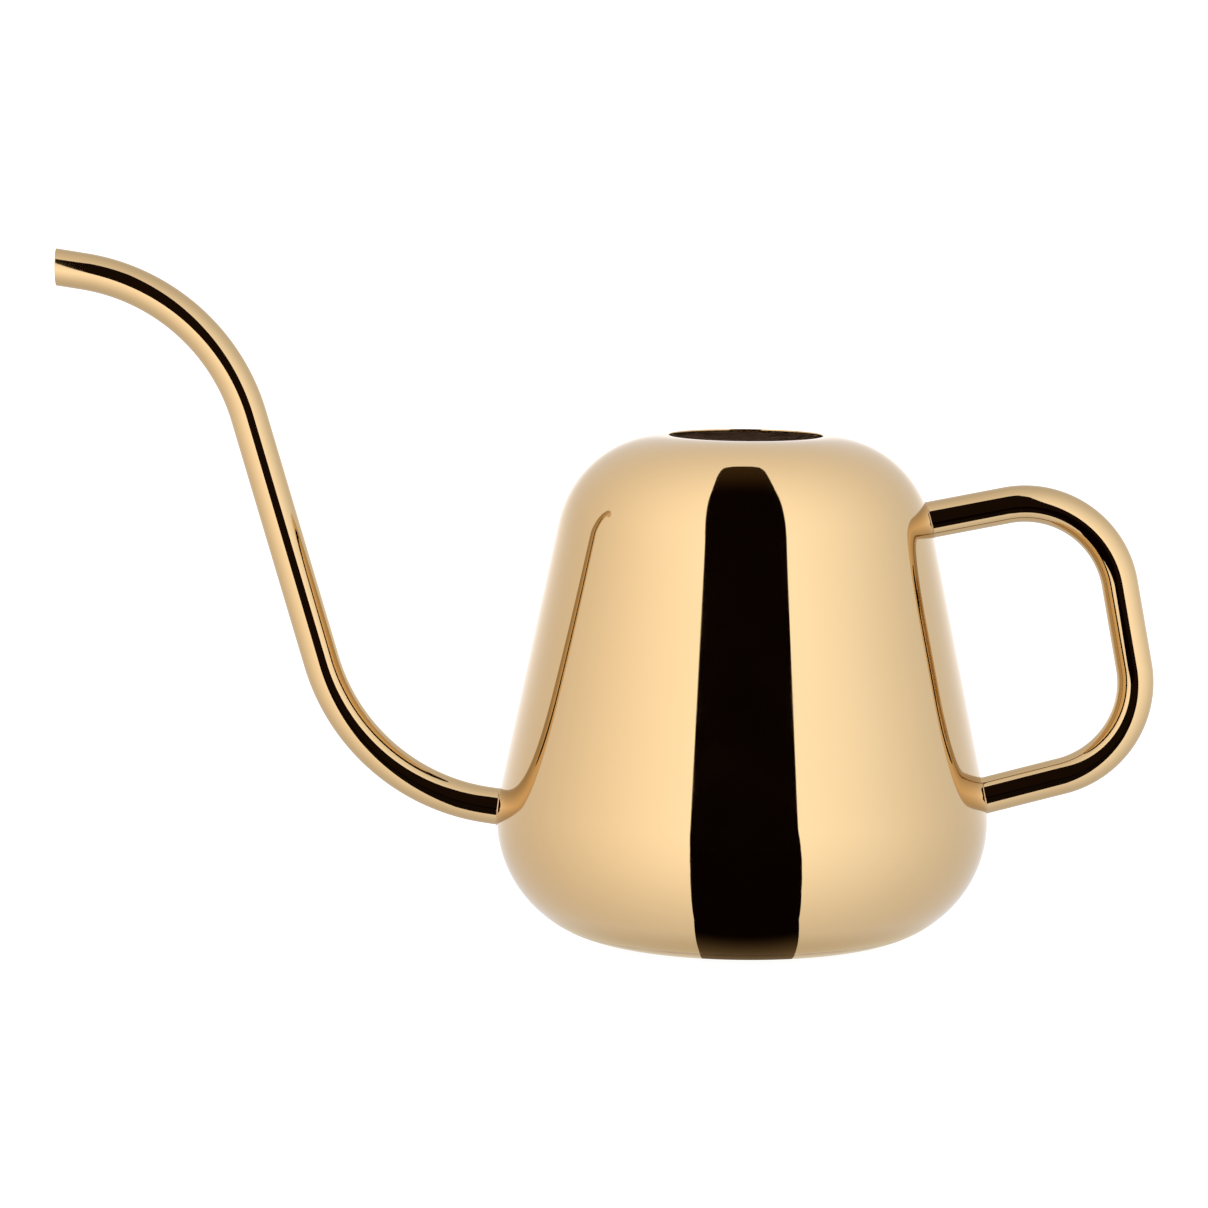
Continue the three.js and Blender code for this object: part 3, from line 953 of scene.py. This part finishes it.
def makeFootShade(seenBy):  # painted shade: a glowing disc, seen only in reflections, that stands for the dimmer, shaded floor close round the foot
    material, tree, glow = glowMaterial("footShade", footShade["glow"], False)
    clear = addNode(tree, "ShaderNodeBsdfTransparent", 0, -150)
    blend = addNode(tree, "ShaderNodeMixShader", 200, 0)
    place = addNode(tree, "ShaderNodeTexCoord", -800, 0)
    reach = addNode(tree, "ShaderNodeVectorMath", -600, 0, operation="LENGTH")
    fade = {"From Min": footShade["inner"], "From Max": footShade["outer"]}
    away = addNode(tree, "ShaderNodeMapRange", -400, 0, fade, interpolation_type="SMOOTHSTEP")
    tree.links.new(place.outputs["Object"], reach.inputs[0])
    tree.links.new(reach.outputs["Value"], away.inputs["Value"])
    tree.links.new(away.outputs["Result"], blend.inputs[0])
    tree.links.new(glow.outputs[0], blend.inputs[1])
    tree.links.new(clear.outputs[0], blend.inputs[2])
    tree.links.new(blend.outputs[0], tree.nodes["Material Output"].inputs["Surface"])
    turns = [2 * math.pi * i / footShade["sides"] for i in range(footShade["sides"])]
    outer = footShade["outer"]
    corners = [(outer * math.cos(t), outer * math.sin(t), gap["floor"] / 2) for t in turns]
    panel("footShade", corners, material, seenBy)


def makeTubeTent(seenBy):
    low, high = tubeTent["low"], tubeTent["high"]
    work = bmesh.new()
    outer = [(low[0], low[2]), (high[0], low[2]), (high[0], high[2]), (low[0], high[2])]
    frontEdges = []
    for loop in (outer, tubeTent["window"]):
        ring = [work.verts.new((x, low[1], z)) for x, z in loop]
        frontEdges += [work.edges.new((ring[i - 1], ring[i])) for i in range(len(ring))]
    bmesh.ops.triangle_fill(work, edges=frontEdges, use_beauty=True)
    back = [work.verts.new((x, high[1], z)) for x, z in outer]
    corners = list(work.verts)[:4]
    work.faces.new(back)
    for i in range(4):
        work.faces.new((corners[i - 1], corners[i], back[i], back[i - 1]))
    mesh = bpy.data.meshes.new("tubeTent")
    work.to_mesh(mesh)
    work.free()
    tent = bpy.data.objects.new("tubeTent", mesh)
    bpy.context.scene.collection.objects.link(tent)
    tent.location = (axisX, 0, studio["centreHeight"])
    mesh.materials.append(clothMaterial("tubeCloth", True, tubeTent["dimAbove"], tubeTent["dimBelow"]))
    onlyInReflections(tent, seenBy)
    darkRoom = glowMaterial("darkRoom", tubeTent["room"], True)[0]
    beyond = (low[1] + gap["front"]) / 2
    panel("roomBeyond", [(x, beyond, z) for x, z in outer], darkRoom, seenBy)


paleFloor = {"size": 30, "grey": 0.12, "glow": 0.95}


def makeFloor():
    mesh = bpy.data.meshes.new("floor")
    size, grey = paleFloor["size"], paleFloor["grey"]
    corners = [(-size, -size, 0), (size, -size, 0), (size, size, 0), (-size, size, 0)]
    mesh.from_pydata(corners, [], [(0, 1, 2, 3)])
    floor = bpy.data.objects.new("floor", mesh)
    bpy.context.scene.collection.objects.link(floor)
    material = bpy.data.materials.new("paleFloor")
    material.use_nodes = True
    shader = material.node_tree.nodes["Principled BSDF"]
    shader.inputs["Base Color"].default_value = (grey, grey, grey, 1)
    shader.inputs["Roughness"].default_value = 1.0
    shader.inputs["Specular IOR Level"].default_value = 0.0
    shader.inputs["Emission Color"].default_value = (1, 1, 1, 1)
    shader.inputs["Emission Strength"].default_value = paleFloor["glow"]
    mesh.materials.append(material)
    floor.visible_glossy = False


def makeSky():
    world = bpy.data.worlds.new("studioWhite")
    world.use_nodes = True
    world.node_tree.nodes["Background"].inputs["Color"].default_value = (1, 1, 1, 1)
    world.node_tree.nodes["Background"].inputs["Strength"].default_value = studio["whiteness"]
    bpy.context.scene.world = world
    world.cycles_visibility.glossy = False


camera = {
    "place": (-0.66 * mm, -1787.5 * mm, 306.0 * mm),
    "target": (-0.66 * mm, 0, 109.07 * mm),
    "tilt": 0.465,  # in degrees
    "lens": 164.9,
    "sensor": 36,
}


def makeCamera():
    data = bpy.data.cameras.new("camera")
    data.lens = camera["lens"]
    data.sensor_width = camera["sensor"]
    lensPiece = bpy.data.objects.new("camera", data)
    bpy.context.scene.collection.objects.link(lensPiece)
    place, target = Vector(camera["place"]), Vector(camera["target"])
    look = (target - place).to_track_quat("-Z", "Y").to_matrix().to_4x4()
    turned = look @ look.Rotation(math.radians(camera["tilt"]), 4, "Z")
    turned.translation = place
    lensPiece.matrix_world = turned
    bpy.context.scene.camera = lensPiece


tubes = [spoutTube, handleTube]
makeCloth([shell, pan] + welds)
makeGap()
makeFootShade([shell, pan] + welds)
makeTubeTent(tubes)
makeFloor()
makeSky()
makeCamera()
bpy.context.scene.view_settings.view_transform = "Standard"
print("studio set")
